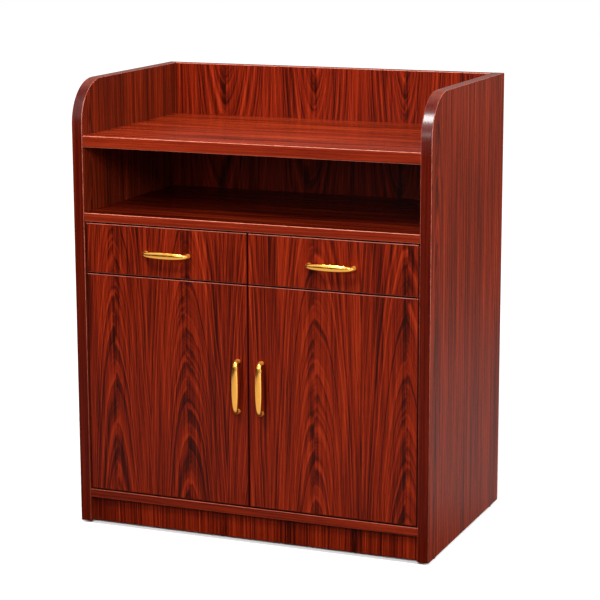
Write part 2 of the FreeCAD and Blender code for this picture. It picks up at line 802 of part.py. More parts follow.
def drawer_runner():
    """Drawer's left runner member: flange under the drawer side, web, upper flange, rear roller's axle."""
    steel = s.runner_steel
    gap = s.runner_gap
    height = drawer_member_height
    member = runner_profile("drawer_member", [
        (gap - steel, 0),
        (gap + s.runner_foot, 0),
        (gap + s.runner_foot, steel),
        (gap, steel),
        (gap, height),
        (steel + s.runner_wall_play, height),
        (steel + s.runner_wall_play, height - steel),
        (gap - steel, height - steel),
    ], drawer_length, front_back, runner_base)
    axle_start = s.roller_lane - s.axle_play - inner
    axle_end = gap - steel / 2 - inner
    axle_base = (axle_start, rear_roller_y, runner_base + roller_height)
    head_base = (axle_start - s.axle_head, rear_roller_y, runner_base + roller_height)
    axle = rod("rear_axle", "x", axle_base, s.axle_radius, axle_end - axle_start)
    head = stud("rear_axle_head", "x", head_base, s.axle_head_radius, s.axle_head)
    return join("drawer_runner", [member, axle, head])


def roller(label, y):
    """A nylon roller in the lane beside the left wall."""
    body = new_body(label)
    profile = new_sketch(body, "XY_Plane", "profile")
    rectangle(profile, (0, s.roller_width), (s.axle_radius + s.running_fit, s.roller_radius))
    turned = body.newObject("PartDesign::Revolution", f"{label}_turned")
    turned.Profile = profile
    turned.ReferenceAxis = (profile, ["H_Axis"])
    turned.Angle = 360
    place(body, s.roller_lane - inner, y, runner_base + roller_height)
    return body


def pair(label, part):
    """A runner piece of the left bay with its twin on the divider."""
    return group(label, [part, mirror(f"{label}_twin", part, bay_middle)])


# ---- places that the fitted pieces share -------------------------------------------------------------------

pin_columns = (front_back + s.pin_hole_set, back_face - s.pin_hole_set)
bay_middle = -(inner + divider_half) / 2
drawer_member_height = 2 * (s.runner_steel + s.rolling_play + s.roller_radius)
roller_height = s.runner_steel + s.rolling_play + s.roller_radius
runner_base = floor_panel[1] + s.runner_lift
runner_front = front_back + s.runner_end_gap
front_roller_y = runner_front + s.roller_set
drawer_end = back_face - s.drawer_rear_gap
drawer_length = drawer_end - front_back
rear_roller_y = drawer_end - s.roller_set
drawer_seat = runner_base + s.runner_steel
drawer_reach = (divider_half + s.runner_gap, inner - s.runner_gap)

# ---- horizontal boards with their cam fasteners ------------------------------------------------------------

board_rows = {
    "worktop": (face + s.edge_band, upstand_face, worktop_under, worktop_level),
    "middle_shelf": (face + s.edge_band, back_face, shelf_under, s.shelf_level),
    "drawer_floor_panel": (hinge_y + s.hook_radius, back_face, *floor_panel),
    "bottom_panel": (face + s.edge_band, back_face, s.plinth_height, bottom_top),
}
fasteners = []
for name, (board_front, board_back, board_low, board_high) in board_rows.items():
    housings = cams(name, (board_front, board_back), board_low)
    raw = box(f"{name}_board", full_width, (board_front, board_back), (board_low, board_high))
    node(cut(name, raw, housings))
    fasteners += housings
node(group("cam_fasteners", fasteners))

# ---- hinge arms, plates and their screws on the side panels ------------------------------------------------

plates = []
plate_screws = []
panel_bores = []
for side_name, side in (("left", LEFT), ("right", RIGHT)):
    for row, level in zip(("lower", "upper"), hinge_levels):
        name = f"{side_name}_{row}"
        shanks = []
        for end, z in (("low", level - s.plate_screw_spread), ("high", level + s.plate_screw_spread)):
            head, shank = side_screw(f"{name}_{end}", side, z)
            plate_screws.append(join(f"{name}_{end}_screw", [head, shank]))
            shanks.append(shank)
        plates.append(cut(f"{name}_plate", mounting_plate(f"{name}_cross", side, level), shanks))
        panel_bores += shanks
left_arms = [hinge_arm(f"{row}_arm", z) for row, z in zip(("lower", "upper"), hinge_levels)]
left_arms = group("left_arms", left_arms)
node(group("hinge_arms", [left_arms, mirror("right_arms", left_arms)]))
node(group("hinge_plates", plates))
node(group("hinge_plate_screws", plate_screws))

# ---- carcass -----------------------------------------------------------------------------------------------

left_blank = side_panel()
node(cut("left_side_panel", left_blank, panel_bores))
node(cut("right_side_panel", mirror("right_side_blank", left_blank), panel_bores))
left_band = node(side_band())
node(mirror("right_side_edge_band", left_band))

upstand_heights = (worktop_under - s.upstand_drop, s.overall_height - s.edge_band)
node(box("upstand", full_width, (upstand_face, back), upstand_heights))
back_half = inner + s.groove_depth - s.groove_play
back_heights = (s.plinth_height, worktop_under)
node(box("back_panel", (-back_half, back_half), (back_face, back_face + s.back_board), back_heights))
divider_y = (front_back + s.divider_play, back_face)
node(box("drawer_divider", (-divider_half, divider_half), divider_y, (floor_panel[1], shelf_under)))
plinth_front = front + s.plinth_recess
plinth_heights = (s.glide_height, s.plinth_height)
node(box("front_plinth", full_width, (plinth_front, plinth_front + s.shelf_board), plinth_heights))
node(box("rear_plinth", full_width, (back_face - s.shelf_board, back_face), plinth_heights))

shelf_front = front_back + s.shelf_setback
shelf_half = inner - s.shelf_play
shelf_x = (-shelf_half, shelf_half)
shelf_base = s.shelf_pin_level + s.pin_hole_radius
shelf_z = (shelf_base, shelf_base + s.shelf_board)
node(box("adjustable_shelf", shelf_x, (shelf_front + s.edge_band, back_face - s.shelf_play), shelf_z))
node(group("board_edge_bands", [
    front_strip("worktop_band", full_width, face, (worktop_under, worktop_level)),
    front_strip("middle_shelf_band", full_width, face, (shelf_under, s.shelf_level)),
    front_strip("bottom_band", full_width, face, (s.plinth_height, bottom_top)),
    front_strip("adjustable_shelf_band", shelf_x, shelf_front, shelf_z),
    top_strip("upstand_band", full_width, (upstand_face, back), s.overall_height),
]))

pins = []
glides = []
for side_name, side in (("left", LEFT), ("right", RIGHT)):
    pin_x = span(side, inner - s.pin_reach, inner + s.pin_hole_depth)
    for row_name, y in zip(("front", "rear"), pin_columns):
        base = (pin_x[0], y, s.shelf_pin_level)
        name = f"{side_name}_{row_name}_pin"
        pins.append(stud(name, "x", base, s.pin_hole_radius, pin_x[1] - pin_x[0]))
    for row_name, y in (("front", front + s.glide_set), ("rear", back - s.glide_set)):
        base = (side * (half_width - s.side_board / 2), y, 0)
        glides.append(rod(f"{side_name}_{row_name}_glide", "z", base, s.glide_radius, s.glide_height))
node(group("shelf_pins", pins))
node(group("foot_glides", glides))

# ---- magnetic catch under the drawer floor panel -----------------------------------------------------------

catch_front = front_back + s.strike_thickness + s.catch_play
catch_top = floor_panel[0]
catch_middle = catch_top - s.catch_height / 2
magnets = []
for side_name, side in (("left", LEFT), ("right", RIGHT)):
    magnet_from = (s.catch_length / 2 - s.magnet_length) / 2
    magnet_x = span(side, magnet_from, magnet_from + s.magnet_length)
    magnet_y = (catch_front, catch_front + s.magnet_depth)
    magnet_z = around(catch_middle, s.magnet_height / 2)
    magnets.append(box(f"{side_name}_magnet", magnet_x, magnet_y, magnet_z))
catch_block = box(
    "catch_block",
    (-s.catch_length / 2, s.catch_length / 2),
    (catch_front, catch_front + s.catch_depth),
    (catch_top - s.catch_height, catch_top),
)
node(cut("catch_housing", catch_block, magnets))
node(group("catch_magnets", magnets))

# ---- runners and rollers -----------------------------------------------------------------------------------

left_cabinet_pair = pair("left_cabinet_pair", cabinet_runner())
node(group("cabinet_runners", [left_cabinet_pair, mirror("right_cabinet_pair", left_cabinet_pair)]))
left_runners = {
    "drawer_runners": pair("left_drawer_runners", drawer_runner()),
    "front_rollers": pair("left_front_rollers", roller("front_roller", front_roller_y)),
    "rear_rollers": pair("left_rear_rollers", roller("rear_roller", rear_roller_y)),
}
for name, part in left_runners.items():
    node(part)
    node(mirror(f"right_{name}", part))

# ---- drawers -----------------------------------------------------------------------------------------------

drawer_handles = {"left": s.left_drawer_handle_out, "right": s.right_drawer_handle_out}
groove_base = drawer_seat + s.drawer_bottom_rise
groove_z = (groove_base, groove_base + s.drawer_bottom_board + s.groove_play)
bottom_z = (groove_base, groove_base + s.drawer_bottom_board)
side_z = (drawer_seat, drawer_seat + s.drawer_side_height)
box_y = (front_back, drawer_end)
for side_name, side in (("left", LEFT), ("right", RIGHT)):
    name = f"{side_name}_drawer"
    front_x = span(side, *front_reach)
    handle_x = side * drawer_handles[side_name]
    level_pull = (handle_x, s.drawer_handle_level, True, s.drawer_handle_length)
    screws, shanks = handle_screws(f"{name}_handle_screws", *level_pull)
    node(bow_pull(f"{name}_handle", *level_pull, shanks))
    node(screws)
    node(front_panel(f"{name}_front", front_x, drawer_heights, shanks))
    node(front_frame(f"{name}_edge_band", front_x, drawer_heights))
    low, high = span(side, *drawer_reach)
    inner_low, inner_high = low + s.drawer_side_board, high - s.drawer_side_board
    grooved = (inner_low - s.drawer_bottom_groove, inner_high + s.drawer_bottom_groove)
    walls = []
    for wall_name, wall_x, groove_x in (
        ("left", (low, inner_low), (grooved[0], inner_low)),
        ("right", (inner_high, high), (inner_high, grooved[1])),
    ):
        board = box(f"{name}_{wall_name}_board", wall_x, box_y, side_z)
        groove = box(f"{name}_{wall_name}_groove", groove_x, box_y, groove_z)
        walls.append(cut(f"{name}_{wall_name}_wall", board, [groove]))
    node(group(f"{name}_sides", walls))
    back_y = (drawer_end - s.drawer_side_board, drawer_end)
    node(box(f"{name}_back", (inner_low, inner_high), back_y, (groove_z[1], side_z[1])))
    bottom_x = (grooved[0] + s.groove_play, grooved[1] - s.groove_play)
    node(box(f"{name}_bottom", bottom_x, box_y, bottom_z))

# ---- doors -------------------------------------------------------------------------------------------------

door_handles = {"left": s.left_door_handle_out, "right": s.right_door_handle_out}
for side_name, side in (("left", LEFT), ("right", RIGHT)):
    name = f"{side_name}_door"
    door_x = span(side, *front_reach)
    handle_x = side * door_handles[side_name]
    upright_pull = (handle_x, s.door_handle_level, False, s.door_handle_length)
    screws, door_bores = handle_screws(f"{name}_handle_screws", *upright_pull)
    node(bow_pull(f"{name}_handle", *upright_pull, list(door_bores)))
    node(screws)
    cups = []
    hinge_pins = []
    for row, level in zip(("lower", "upper"), hinge_levels):
        cup, pin, bore = hinge_cup(f"{side_name}_{row}_cup", side, level)
        cups.append(cup)
        hinge_pins.append(pin)
        door_bores.append(bore)
    node(group(f"{side_name}_hinge_cups", cups))
    node(group(f"{side_name}_hinge_pins", hinge_pins))
    node(front_panel(name, door_x, door_heights, door_bores))
    node(front_frame(f"{name}_edge_band", door_x, door_heights))
    strike_x = span(side, front_reach[0] + s.strike_edge, front_reach[0] + s.strike_edge + s.strike_width)
    strike_y = (front_back, front_back + s.strike_thickness)
    node(box(f"{side_name}_strike_plate", strike_x, strike_y, around(catch_middle, s.strike_height / 2)))

# ---- check and write ---------------------------------------------------------------------------------------

doc.recompute()
for item in doc.Objects:
    if "Invalid" in item.State or "Error" in item.State:
        raise ValueError(f"{item.Label} failed: {item.State}")
os.makedirs("parts", exist_ok=True)
for part in nodes:
    if part.Shape.isNull() or not part.Shape.isValid() or not part.Shape.Solids:
        raise ValueError(f"{part.Label} has no sound shape")
    part.Shape.exportStep(f"parts/{part.Label}.step")
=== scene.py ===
import math

import bmesh
import bpy
from mathutils import Matrix, Vector


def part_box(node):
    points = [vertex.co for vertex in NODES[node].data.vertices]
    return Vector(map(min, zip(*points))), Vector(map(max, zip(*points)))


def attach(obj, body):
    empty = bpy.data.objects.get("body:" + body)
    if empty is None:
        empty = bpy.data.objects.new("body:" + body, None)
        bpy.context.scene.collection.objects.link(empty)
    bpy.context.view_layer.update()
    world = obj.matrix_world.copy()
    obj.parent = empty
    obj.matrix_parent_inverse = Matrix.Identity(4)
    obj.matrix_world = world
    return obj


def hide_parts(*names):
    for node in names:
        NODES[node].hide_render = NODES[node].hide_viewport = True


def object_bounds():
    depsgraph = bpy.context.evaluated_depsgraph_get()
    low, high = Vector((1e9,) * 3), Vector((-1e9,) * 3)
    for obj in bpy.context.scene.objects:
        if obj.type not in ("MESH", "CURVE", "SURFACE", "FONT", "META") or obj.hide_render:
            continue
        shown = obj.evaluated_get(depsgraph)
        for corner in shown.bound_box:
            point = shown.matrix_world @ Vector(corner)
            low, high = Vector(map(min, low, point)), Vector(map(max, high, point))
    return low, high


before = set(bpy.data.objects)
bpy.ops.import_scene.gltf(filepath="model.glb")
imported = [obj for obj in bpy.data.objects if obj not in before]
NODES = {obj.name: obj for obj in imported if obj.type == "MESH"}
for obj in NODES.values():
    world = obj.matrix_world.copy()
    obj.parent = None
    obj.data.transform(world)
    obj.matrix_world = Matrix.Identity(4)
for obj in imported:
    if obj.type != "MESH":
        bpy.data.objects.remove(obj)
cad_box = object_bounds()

# A waiter's service station: a cabinet of figured red-brown laminate with brass bow pulls. It stands on
# the floor around the origin and its doors face -Y. Lengths are in metres, and colours are linear.
#
# A range, such as ROOM_BEHIND, is four numbers: where it starts, where it ends, and the value at each of
# those. One of two numbers only, such as PORE_CUT, goes from 0 to 1.

SIDES = ("left", "right")
WHITE = (1.0, 1.0, 1.0, 1.0)

# ---- shader nodes ------------------------------------------------------------------------------------------


def give(tree, item, values):
    """Set a node's inputs, by name or number. A value is a number, a colour, a vector or another node's
    output."""
    for key, value in values.items():
        if isinstance(value, bpy.types.NodeSocket):
            tree.links.new(value, item.inputs[key])
        else:
            item.inputs[key].default_value = value


def add(tree, kind, values=None, **settings):
    """A new node with its settings, and then its inputs."""
    item = tree.nodes.new(kind)
    for key, value in settings.items():
        setattr(item, key, value)
    give(tree, item, values or {})
    return item


def shader_of(material):
    """The Principled shader of a material."""
    return next(item for item in material.node_tree.nodes if item.type == "BSDF_PRINCIPLED")


def new_material(name):
    """A material with nothing but its Principled shader. Returns the material, its nodes' tree and the
    shader."""
    material = bpy.data.materials.new(name)
    material.use_nodes = True
    return material, material.node_tree, shader_of(material)


def new_group(name, vectors, numbers, results):
    """An empty shader group: its vector inputs, its number inputs with their usual values, and its
    results, which are numbers. Returns the group, the sockets that bring the inputs, and the node that
    takes the results."""
    group = bpy.data.node_groups.new(name, "ShaderNodeTree")
    for label in vectors:
        group.interface.new_socket(name=label, in_out="INPUT", socket_type="NodeSocketVector")
    for label, value in numbers.items():
        socket = group.interface.new_socket(name=label, in_out="INPUT", socket_type="NodeSocketFloat")
        socket.default_value = value
    for label in results:
        group.interface.new_socket(name=label, in_out="OUTPUT", socket_type="NodeSocketFloat")
    return group, add(group, "NodeGroupInput").outputs, add(group, "NodeGroupOutput")


def reckon(tree, operation, *values):
    """A Math node on one to three numbers or sockets. Returns its output."""
    return add(tree, "ShaderNodeMath", dict(enumerate(values)), operation=operation).outputs[0]


def plus(tree, first, second):
    return reckon(tree, "ADD", first, second)


def minus(tree, first, second):
    return reckon(tree, "SUBTRACT", first, second)


def times(tree, first, second):
    return reckon(tree, "MULTIPLY", first, second)


def ratio(tree, first, second):
    return reckon(tree, "DIVIDE", first, second)


def smaller(tree, first, second):
    return reckon(tree, "MINIMUM", first, second)


def larger(tree, first, second):
    return reckon(tree, "MAXIMUM", first, second)


def remap(tree, value, low, high, to_low=0.0, to_high=1.0, kind="LINEAR"):
    """The value carried over a range and held at its ends."""
    values = {"Value": value, "From Min": low, "From Max": high, "To Min": to_low, "To Max": to_high}
    return add(tree, "ShaderNodeMapRange", values, interpolation_type=kind).outputs["Result"]


def smooth_step(tree, value, low, high, to_low, to_high):
    """The same, with soft ends."""
    return remap(tree, value, low, high, to_low, to_high, "SMOOTHSTEP")


def axes_of(tree, vector):
    """The sockets X, Y and Z of a vector."""
    return add(tree, "ShaderNodeSeparateXYZ", {0: vector}).outputs


def noise(tree, place, cells, detail, roughness, distortion=0.0):
    """Cloudy noise around NOISE_MIDDLE. Cells is how many of them go in a metre: one number, or one for
    each axis."""
    if isinstance(cells, tuple):
        place = add(tree, "ShaderNodeVectorMath", {0: place, 1: cells}, operation="MULTIPLY").outputs[0]
        cells = 1.0
    values = {"Vector": place, "Scale": cells, "Detail": detail, "Roughness": roughness,
              "Distortion": distortion}
    return add(tree, "ShaderNodeTexNoise", values).outputs["Fac"]


def colours(tree, value, stops):
    """The colour at a value, between stops of (place, colour)."""
    ramp = add(tree, "ShaderNodeValToRGB", {"Fac": value})
    ramp.color_ramp.interpolation = "LINEAR"
    items = ramp.color_ramp.elements
    while len(items) < len(stops):
        items.new(0.5)
    for item, (place, colour) in zip(items, stops):
        item.position = place
        item.color = (*colour, 1.0)
    return ramp.outputs["Color"]


def mixed(tree, mask, colour, other, way="MIX"):
    """The colour where the mask is 0, and where it is 1 the other one, or with MULTIPLY the product of
    both."""
    values = {"Factor": mask, "A": colour, "B": (*other, 1.0)}
    return add(tree, "ShaderNodeMix", values, data_type="RGBA", blend_type=way).outputs["Result"]


def bumped(tree, height, depth):
    """A normal that follows a height, where 1 stands for the depth."""
    values = {"Strength": 1.0, "Distance": depth, "Height": height}
    return add(tree, "ShaderNodeBump", values).outputs["Normal"]


# ---- camera ------------------------------------------------------------------------------------------------

CAMERA_AT = (1.7566, -4.2135, 1.4407)
# Turns in radians, from looking along +Y.
CAMERA_YAW = 0.38988
CAMERA_PITCH = -0.20355
CAMERA_ROLL = -0.00318
# Lens and sensor in millimetres, and the farthest thing seen in metres.
CAMERA_LENS = 124.19
CAMERA_SENSOR = 36.0
CAMERA_REACH = 100.0


def set_camera():
    """The camera, turned by yaw, pitch and roll."""
    data = bpy.data.cameras.new("camera")
    data.lens = CAMERA_LENS
    data.sensor_width = CAMERA_SENSOR
    data.clip_end = CAMERA_REACH
    camera = bpy.data.objects.new("camera", data)
    turn = Matrix.Rotation(CAMERA_YAW, 4, "Z") @ Matrix.Rotation(math.pi / 2 + CAMERA_PITCH, 4, "X")
    camera.matrix_world = Matrix.Translation(CAMERA_AT) @ turn @ Matrix.Rotation(CAMERA_ROLL, 4, "Z")
    bpy.context.scene.collection.objects.link(camera)
    bpy.context.scene.camera = camera


# ---- room --------------------------------------------------------------------------------------------------

# Light from all round, and ranges over the direction for what gloss mirrors: behind the cabinet, above
# it, to its right, and in front of it from a little above the horizon.
ROOM_FILL = 0.45
ROOM_BEHIND = (-0.1, 0.5, 0.01, 0.33)
ROOM_ABOVE = (0.6, 0.95, 0.0, 0.5)
ROOM_RIGHT = (0.55, 0.95, 0.0, 1.0)
ROOM_AHEAD = (-0.5, 0.0, 1.15, 0.0)
ROOM_AHEAD_RISE = (0.06, 0.22, 0.0, 1.0)

# Name, place, target, size and power.
SOFTBOXES = (
    ("key_softbox", (-0.45, -1.75, 2.8), (0.0, 0.0, 0.6), (0.62, 0.70), 70.0),
    ("front_softbox", (-0.7, -3.4, 1.45), (0.0, 0.0, 0.6), (0.7, 0.45), 8.0),
    ("fill_softbox", (1.6, -3.3, 2.4), (0.0, 0.0, 0.5), (1.2, 1.2), 73.0),
    ("right_softbox", (3.0, -0.4, 2.2), (0.4, 0.0, 0.6), (1.0, 1.4), 24.0),
    ("side_softbox", (2.8, 0.15, 0.6), (0.4, 0.0, 0.5), (1.2, 0.8), 34.0),
)


def softbox(name, at, target, size, power):
    """A rectangular lamp that faces a target point."""
    data = bpy.data.lights.new(name, "AREA")
    data.shape = "RECTANGLE"
    data.size, data.size_y = size
    data.energy = power
    lamp = bpy.data.objects.new(name, data)
    facing = (Vector(target) - Vector(at)).to_track_quat("-Z", "Y")
    lamp.matrix_world = Matrix.Translation(at) @ facing.to_matrix().to_4x4()
    bpy.context.scene.collection.objects.link(lamp)


def rays_mirrored(tree, path):
    """1 for the light that gloss and glass show."""
    return larger(tree, path["Is Glossy Ray"], path["Is Transmission Ray"])


def room_light(tree, strength):
    """White light of a strength, which is a number or a socket."""
    return add(tree, "ShaderNodeBackground", {"Color": WHITE, "Strength": strength}).outputs[0]


def room_switch(tree, mask, first, second):
    """The first light where the mask is 0, the second where it is 1."""
    return add(tree, "ShaderNodeMixShader", {"Fac": mask, 1: first, 2: second}).outputs[0]


def light_room():
    """A room that is white to the camera and dim to the boards. What gloss mirrors comes from behind,
    from above, from the right and from above the front."""
    world = bpy.data.worlds.new("room")
    bpy.context.scene.world = world
    world.use_nodes = True
    tree = world.node_tree
    tree.nodes.clear()
    way = axes_of(tree, add(tree, "ShaderNodeTexCoord").outputs["Generated"])
    behind = smooth_step(tree, way["Y"], *ROOM_BEHIND)
    above = smooth_step(tree, way["Z"], *ROOM_ABOVE)
    right = smooth_step(tree, way["X"], *ROOM_RIGHT)
    rise = smooth_step(tree, way["Z"], *ROOM_AHEAD_RISE)
    ahead = times(tree, smooth_step(tree, way["Y"], *ROOM_AHEAD), rise)
    around = larger(tree, larger(tree, behind, above), larger(tree, right, ahead))
    path = add(tree, "ShaderNodeLightPath").outputs
    mirrored = rays_mirrored(tree, path)
    light = room_switch(tree, mirrored, room_light(tree, ROOM_FILL), room_light(tree, around))
    light = room_switch(tree, path["Is Camera Ray"], light, room_light(tree, 1.0))
    add(tree, "ShaderNodeOutputWorld", {"Surface": light})
    for lamp in SOFTBOXES:
        softbox(*lamp)


# ---- floor -------------------------------------------------------------------------------------------------

FLOOR_HALF = 14.0
FLOOR_ROUGHNESS = 0.8
# The paint's colour to the camera, and to the light that bounces off it.
FLOOR_TO_CAMERA = (0.60, 0.60, 0.60)
FLOOR_TO_OTHERS = (0.06, 0.06, 0.06)
# Glow to the camera, over the distance from the cabinet's middle.
FLOOR_SEEN = (0.4, 3.0, 0.60, 0.85)
# Painted shadow: under the cabinet there is no glow, so the floor stays dark there: over the share of its
# half width, or of this much of its half depth, because its pulls stand out in front of its boards.
FLOOR_SHADOW_EDGE = (0.96, 1.01, 0.0, 1.0)
FLOOR_SHADOW_DEPTH = 0.92
# The floor behind the cabinet as gloss mirrors it: over Y, and dimmer over the distance.
FLOOR_BEHIND = (-0.2, 0.4, 0.0, 0.20)
FLOOR_FADE = (0.8, 3.5, 1.0, 0.15)
# The floor in front as gloss mirrors it: over Y, and over X to each side of a middle line.
FLOOR_AHEAD = (-0.60, -0.30, 1.0, 0.0)
FLOOR_MIDDLE = -0.35
FLOOR_ASIDE = (0.8, 1.5, 0.88, 1.50)
# It darkens far off to the left. Slant is X over Y, which in front of the cabinet grows to the left, and
# counts up to a limit. The more slant, the nearer the darkening starts.
FLOOR_SLANT_LIMIT = 0.9
FLOOR_SLANT_REACH = 1.6
FLOOR_FAR = (3.1, 3.7, 0.0, 0.95)
FLOOR_LEFT = (0.05, 0.30, 0.0, 1.0)


def floor_mirrored(tree, parts, distance):
    """How bright gloss shows the floor: an even strip behind the cabinet, and the lit floor before it."""
    fade = smooth_step(tree, distance, *FLOOR_FADE)
    behind = times(tree, smooth_step(tree, parts["Y"], *FLOOR_BEHIND), fade)
    aside = reckon(tree, "ABSOLUTE", minus(tree, parts["X"], FLOOR_MIDDLE))
    ahead = times(tree, smooth_step(tree, parts["Y"], *FLOOR_AHEAD), smooth_step(tree, aside, *FLOOR_ASIDE))
    slant = smaller(tree, ratio(tree, parts["X"], parts["Y"]), FLOOR_SLANT_LIMIT)
    reach = reckon(tree, "MULTIPLY_ADD", slant, FLOOR_SLANT_REACH, distance)
    shade = times(tree, smooth_step(tree, reach, *FLOOR_FAR), smooth_step(tree, slant, *FLOOR_LEFT))
    return larger(tree, behind, times(tree, ahead, minus(tree, 1.0, shade)))


def floor_seen(tree, parts, distance):
    """How much the floor glows to the camera: a little less near the cabinet, and not at all under it, where
    it is a painted shadow.
    """
    half = cad_box[1]
    wide = ratio(tree, reckon(tree, "ABSOLUTE", parts["X"]), half.x)
    deep = ratio(tree, reckon(tree, "ABSOLUTE", parts["Y"]), half.y * FLOOR_SHADOW_DEPTH)
    # Painted shadow: no glow where the cabinet stands.
    clear = smooth_step(tree, larger(tree, wide, deep), *FLOOR_SHADOW_EDGE)
    return times(tree, smooth_step(tree, distance, *FLOOR_SEEN), clear)


def floor_paint():
    """White to the camera where nothing shades it, and dim to the light that bounces off it."""
    material, tree, shader = new_material("floor_paint")
    path = add(tree, "ShaderNodeLightPath").outputs
    place = add(tree, "ShaderNodeTexCoord").outputs["Object"]
    parts = axes_of(tree, place)
    distance = add(tree, "ShaderNodeVectorMath", {0: place}, operation="LENGTH").outputs["Value"]
    mirrored = times(tree, rays_mirrored(tree, path), floor_mirrored(tree, parts, distance))
    seen = floor_seen(tree, parts, distance)
    give(tree, shader, {
        "Base Color": mixed(tree, path["Is Camera Ray"], (*FLOOR_TO_OTHERS, 1.0), FLOOR_TO_CAMERA),
        "Roughness": FLOOR_ROUGHNESS,
        "Specular IOR Level": 0.0,
        "Emission Color": WHITE,
        "Emission Strength": reckon(tree, "MULTIPLY_ADD", path["Is Camera Ray"], seen, mirrored),
    })
    return material


def lay_floor():
    """A plain square floor around the cabinet."""
    mesh = bpy.data.meshes.new("floor")
    shape = bmesh.new()
    bmesh.ops.create_grid(shape, x_segments=1, y_segments=1, size=FLOOR_HALF)
    shape.to_mesh(mesh)
    shape.free()
    mesh.materials.append(floor_paint())
    floor = bpy.data.objects.new("floor", mesh)
    bpy.context.scene.collection.objects.link(floor)


# ---- wood print --------------------------------------------------------------------------------------------

NOISE_MIDDLE = 0.5
# Nearly all of a noise lies between these.
NOISE_SPAN = (0.3, 0.7)
# Cells across the grain, again, and along it, then the noise's detail and roughness.
SLOW_WAVES = ((7.0, 7.0, 1.6), 2.0, 0.5)
QUICK_WAVES = ((45.0, 45.0, 5.0), 3.0, 0.6)
CLOUDS = ((20.0, 20.0, 1.5), 2.0, 0.5)
BLOTS = ((55.0, 55.0, 9.0), 3.0, 0.55)
FIBRES = ((620.0, 620.0, 7.0), 3.0, 0.6)
PORES = ((1300.0, 1300.0, 40.0), 1.0, 0.5)
# Rings have a detail and a roughness only. Streaks have cells of their own width, this many in a metre
# along the grain, and a distortion too.
RING_DETAIL = 3.0
RING_ROUGHNESS = 0.80
STREAKS = (1.0, 4.0, 0.62, 0.15)
STREAK_CELLS_ALONG = 2.4
# Each leaf slides along the grain by the sine of its number times a step, times a length.
LEAF_STEP = 12.9
LEAF_SLIDE = 0.35
# How far waves bend the rings: quick ones in metres, slow ones as a share of the waviness.
QUICK_BEND = 0.0028
SLOW_BEND = 0.3
# The dark line at a leaf's heart, over the distance from its middle, and where blots break it.
HEART_LINE = (0.003, 0.016, 1.0, 0.0)
HEART_BREAKS = (0.40, 0.60)
# How much of a noise goes into the figure: for each 1 of strength, and for clouds and fibres.
FIGURE_GAIN = 3.2
CLOUD_GAIN = 0.8
FIBRE_GAIN = 0.9
MIDDLE_TONE = 0.5
PORE_CUT = (0.60, 0.70)


def wood_figure():
    """Growth rings of leaves laid side by side: arches in the middle of a leaf, stripes at its edges. The
    place has the grain along Z and the leaves along X. Figure runs from dark to light, pores are short
    dashes."""
    group, given, wanted = new_group(
        "wood_figure",
        ["Place"],
        {"Leaf Width": 0.17, "Leaf Start": 0.0, "Heart Depth": 0.035, "Arch Slope": 0.09, "Ring Width": 0.006,
         "Waviness": 0.02, "Ring Strength": 0.5, "Streak Strength": 0.5, "Streak Width": 0.0067,
         "Heart Strength": 0.4},
        ["Figure", "Fibre", "Pores"],
    )
    place = given["Place"]
    parts = axes_of(group, place)
    slow = minus(group, noise(group, place, *SLOW_WAVES), NOISE_MIDDLE)
    quick = minus(group, noise(group, place, *QUICK_WAVES), NOISE_MIDDLE)

    across = plus(group, parts["X"], times(group, slow, given["Waviness"]))
    across = plus(group, across, given["Leaf Start"])
    aside = reckon(group, "PINGPONG", across, times(group, given["Leaf Width"], 0.5))
    leaf = reckon(group, "FLOOR", ratio(group, across, given["Leaf Width"]))
    slide = times(group, reckon(group, "SINE", times(group, leaf, LEAF_STEP)), LEAF_SLIDE)
    slope = times(group, plus(group, parts["Z"], slide), given["Arch Slope"])
    depth = plus(group, given["Heart Depth"], slope)
    squares = plus(group, reckon(group, "POWER", aside, 2.0), reckon(group, "POWER", depth, 2.0))
    slow_bend = times(group, slow, times(group, given["Waviness"], SLOW_BEND))
    bend = plus(group, times(group, quick, QUICK_BEND), slow_bend)
    radius = plus(group, reckon(group, "SQRT", squares), bend)

    values = {"W": ratio(group, radius, given["Ring Width"]), "Scale": 1.0, "Detail": RING_DETAIL,
              "Roughness": RING_ROUGHNESS}
    rings = add(group, "ShaderNodeTexNoise", values, noise_dimensions="1D").outputs["Fac"]
    narrowed = add(group, "ShaderNodeCombineXYZ", {
        "X": ratio(group, parts["X"], given["Streak Width"]),
        "Y": ratio(group, parts["Y"], given["Streak Width"]),
        "Z": times(group, parts["Z"], STREAK_CELLS_ALONG),
    }).outputs[0]
    streaks = noise(group, narrowed, *STREAKS)
    clouds = noise(group, place, *CLOUDS)
    fibres = noise(group, place, *FIBRES)

    figure = MIDDLE_TONE
    for layer, gain in (
        (rings, times(group, given["Ring Strength"], FIGURE_GAIN)),
        (streaks, times(group, given["Streak Strength"], FIGURE_GAIN)),
        (clouds, CLOUD_GAIN),
        (fibres, FIBRE_GAIN),
    ):
        figure = plus(group, figure, times(group, minus(group, layer, NOISE_MIDDLE), gain))
    breaks = remap(group, noise(group, place, *BLOTS), *HEART_BREAKS)
    heart = times(group, remap(group, aside, *HEART_LINE), breaks)
    give(group, wanted, {
        "Figure": minus(group, figure, times(group, heart, given["Heart Strength"])),
        "Fibre": fibres,
        "Pores": remap(group, noise(group, place, *PORES), *PORE_CUT),
    })
    return group


WOOD = wood_figure()

# ---- laminates ---------------------------------------------------------------------------------------------

# How the print lies on a board. Upright: grain up, leaves from side to side. Sideways: grain up, leaves from
# front to back. Level: grain from side to side, leaves from front to back.
UPRIGHT = (0.0, 0.0, 0.0)
SIDEWAYS = (0.0, 0.0, math.radians(90))
LEVEL = (0.0, math.radians(90), math.radians(90))

